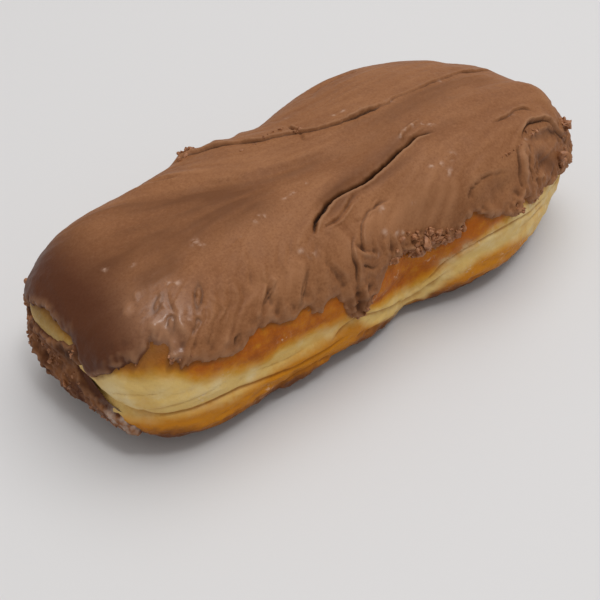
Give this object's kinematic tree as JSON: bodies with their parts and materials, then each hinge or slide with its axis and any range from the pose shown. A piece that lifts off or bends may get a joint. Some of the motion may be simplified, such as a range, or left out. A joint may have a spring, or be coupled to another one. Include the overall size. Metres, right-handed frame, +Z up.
{
  "type": "long john doughnut",
  "caption": "Bar-shaped fried yeast doughnut with chocolate icing spread over its top and smeared down one end.",
  "frame": {"origin": "middle of the bottom face of the part's box, on the surface it rests on", "axes": "+X along the bar towards its far end, +Y across it towards the back, +Z up; -Y is the long side with the drips"},
  "size_m": [0.1548, 0.0688, 0.0444],
  "materials": {
    "dough": "fried yeast dough, golden brown with a pale band round the sides, slightly greasy",
    "icing": "milk chocolate icing, satin, spread with a knife"
  },
  "bodies": {
    "root": {"dough": "dough", "icing": "icing"}
  },
  "joints": []
}
